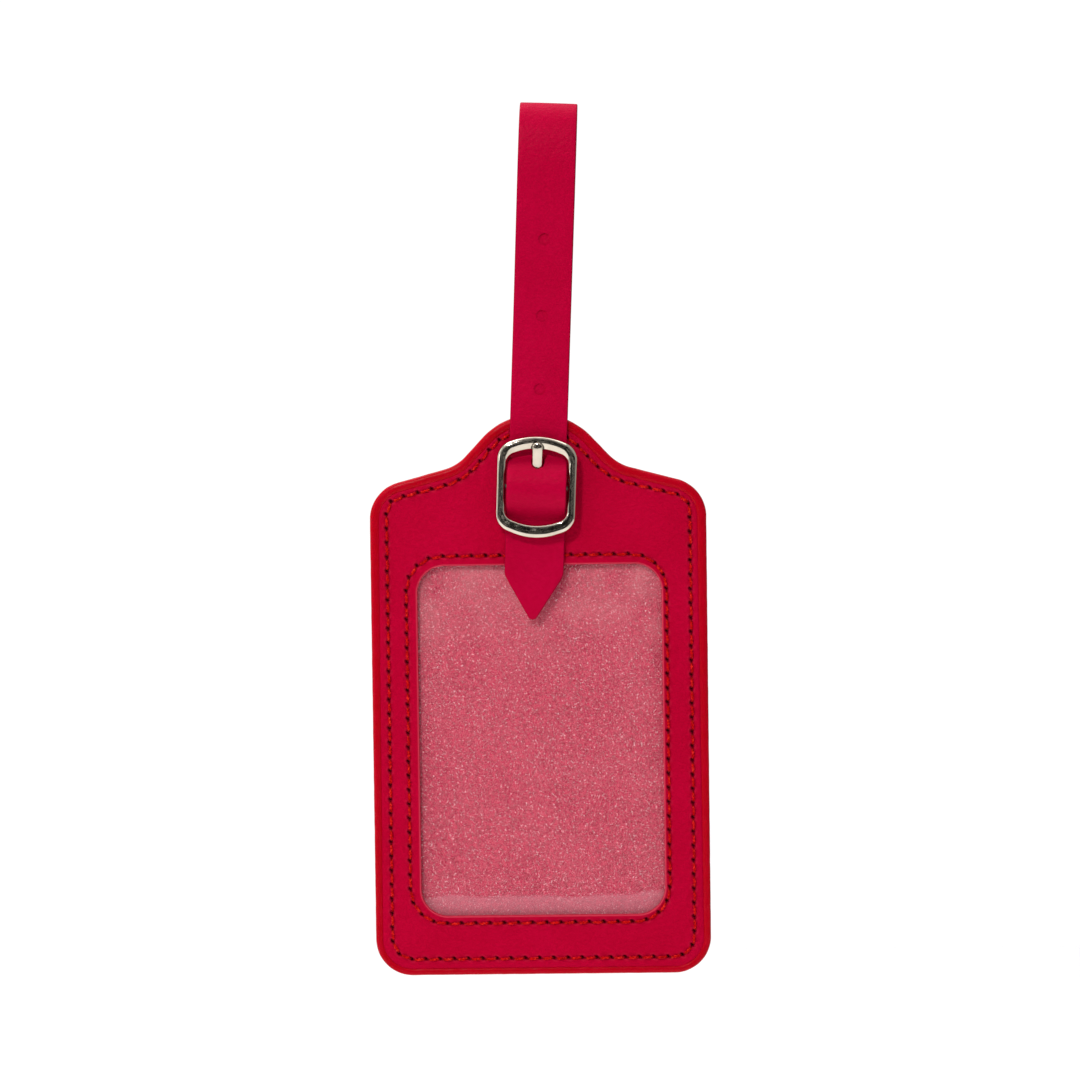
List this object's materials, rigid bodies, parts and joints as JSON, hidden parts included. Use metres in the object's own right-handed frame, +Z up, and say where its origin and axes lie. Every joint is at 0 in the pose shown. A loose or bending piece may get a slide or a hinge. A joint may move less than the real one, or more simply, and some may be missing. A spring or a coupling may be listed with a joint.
{
  "type": "luggage tag",
  "caption": "Bell-topped leather luggage tag with a stitched clear window, a sliding insert card and a buckled strap loop.",
  "frame": {"origin": "inside of the strap loop's top, where a bag's handle carries the tag", "axes": "+Z up along the hanging tag, -Y out of the front face, +X to the right seen from the front"},
  "size_m": [0.0706, 0.0143, 0.1829],
  "materials": {
    "leather": "fine cross-grain, satin",
    "strap_leather": "fine cross-grain, satin",
    "edge_paint": "satin painted edge",
    "thread": "waxed twisted thread",
    "clear_film": "clear, slightly hazy",
    "card_stock": "fibrous, matt",
    "board": "pressed fibre board",
    "lining": "suede-like lining",
    "nickel": "polished nickel"
  },
  "bodies": {
    "loop": {"strap_loop": "strap_leather"},
    "tag": {"front_panel": "leather", "window_film": "clear_film", "stiffener_board": "board", "back_lining": "lining", "back_panel": "leather", "edge_coat": "edge_paint", "outer_seam_needle_thread": "thread", "outer_seam_bobbin_thread": "thread", "mouth_seam_bobbin_thread": "thread", "window_seam_needle_thread": "thread", "window_seam_bobbin_thread": "thread", "strap_front_run": "strap_leather", "strap_fixed_end": "strap_leather", "fold_stitching": "thread"},
    "card": {"insert_card": "card_stock"},
    "buckle": {"buckle_frame": "nickel", "buckle_bar": "nickel"},
    "tongue": {"buckle_tongue": "nickel"},
    "tip": {"strap_tip": "strap_leather"}
  },
  "joints": [
    {"name": "tag_swing", "type": "hinge", "parent": "loop", "child": "tag", "pos_m": [0.00094, 0, -0.05502], "axis": [0.999, 0, -0.0445], "range_deg": [-30, 30]},
    {"name": "card_slide", "type": "slide", "parent": "tag", "child": "card", "axis": [1, 0, 0], "range_m": [0, 0.066]},
    {"name": "buckle_rock", "type": "hinge", "parent": "tag", "child": "buckle", "pos_m": [-0.00014, -0.00465, -0.0792], "axis": [0.999, 0, -0.0445], "range_deg": [-2, 2]},
    {"name": "tongue_pivot", "type": "hinge", "parent": "buckle", "child": "tongue", "pos_m": [-0.00014, -0.00465, -0.0792], "axis": [0.999, 0, -0.0445], "range_deg": [0, 4]},
    {"name": "tip_lift", "type": "hinge", "parent": "tag", "child": "tip", "pos_m": [-0.00073, -0.00275, -0.09248], "axis": [-0.999, 0, 0.0445], "range_deg": [0, 60]}
  ]
}
